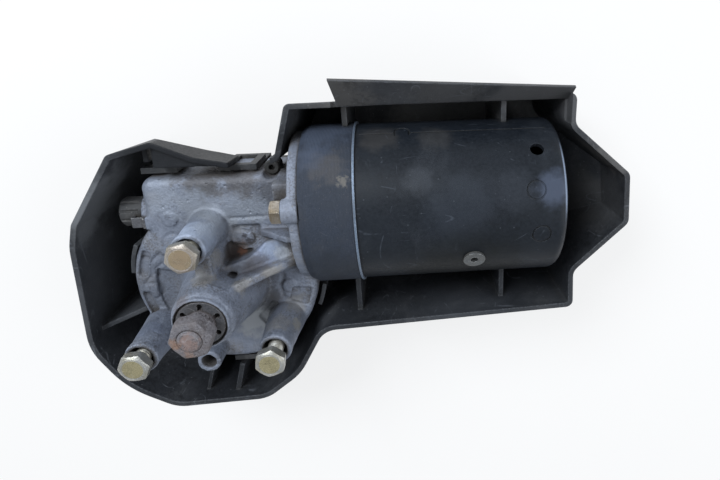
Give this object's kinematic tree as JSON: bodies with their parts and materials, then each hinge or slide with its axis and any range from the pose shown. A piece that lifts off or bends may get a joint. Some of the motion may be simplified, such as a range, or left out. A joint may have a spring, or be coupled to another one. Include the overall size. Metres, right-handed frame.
{
  "type": "windshield wiper motor",
  "caption": "Electric motor with a worm gear unit, an upright threaded output shaft and three mounting posts, lying in an open moulded splash cover.",
  "frame": {"origin": "on the output shaft's axis, at the plane the cover rests on", "axes": "+Z along the output shaft towards its threaded end, +X along the motor from the gear case to the motor's closed end, +Y from the output shaft towards the motor's axis"},
  "size_m": [0.219, 0.1348, 0.0881],
  "materials": {
    "cover_plastic": "moulded black, dusty",
    "cast_alloy": "die cast, dull and dirty",
    "clip_plastic": "moulded black",
    "seal_rubber": "soft black",
    "zinc_yellow": "yellow passivated zinc",
    "knob_plastic": "dirty pale cap",
    "spring_steel": "bright strip",
    "bearing_steel": "polished",
    "sintered_bronze": "sintered",
    "washer_steel": "dull spring steel",
    "contact_brass": "rolled strip",
    "band_paint": "rough dark coat",
    "bare_edge": "bare rolled edge",
    "can_paint": "satin black over steel",
    "zinc_plate": "dull zinc",
    "ferrite": "sintered ferrite",
    "phenolic": "laminated board",
    "carbon": "pressed carbon",
    "copper_coil": "enamelled copper",
    "core_steel": "stacked laminations",
    "rusty_steel": "rusted steel",
    "gear_plastic": "natural acetal"
  },
  "bodies": {
    "unit": {"protective_cover": "cover_plastic", "gear_housing": "cast_alloy", "gear_cover": "clip_plastic", "cover_gasket": "seal_rubber", "mounting_bolts": "zinc_yellow", "flange_screws": "zinc_yellow", "thrust_adjuster": "knob_plastic", "adjuster_lock": "spring_steel", "thrust_ball": "bearing_steel", "cable_grommet": "seal_rubber", "worm_end_bush": "sintered_bronze", "worm_mid_bush": "sintered_bronze", "rear_bush": "sintered_bronze", "shaft_bushes": "sintered_bronze", "shaft_seal": "seal_rubber", "thrust_washer": "washer_steel", "park_contacts": "contact_brass", "brush_housing": "band_paint", "seam_ring": "bare_edge", "motor_can": "can_paint", "can_eyelet": "zinc_plate", "magnets": "ferrite", "brush_plate": "phenolic", "brush_holders": "contact_brass", "brushes": "carbon", "brush_springs": "spring_steel", "suppression_chokes": "copper_coil"},
    "armature": {"armature_shaft": "bearing_steel", "armature_core": "core_steel", "windings": "copper_coil", "commutator": "copper_coil"},
    "output": {"output_shaft": "rusty_steel", "worm_wheel": "gear_plastic", "park_disc": "contact_brass", "star_washer": "washer_steel", "output_nut": "rusty_steel"}
  },
  "joints": [
    {"name": "armature_spin", "type": "hinge", "parent": "unit", "child": "armature", "pos_m": [0.06, 0.02885, 0.0365], "axis": [1, 0, 0], "continuous": true},
    {"name": "output_spin", "type": "hinge", "parent": "unit", "child": "output", "pos_m": [0, 0, 0.04], "axis": [0, 0, 1], "continuous": true}
  ],
  "couplings": [
    {"joint": "output_spin", "follows": "armature_spin", "ratio": 0.016667}
  ]
}
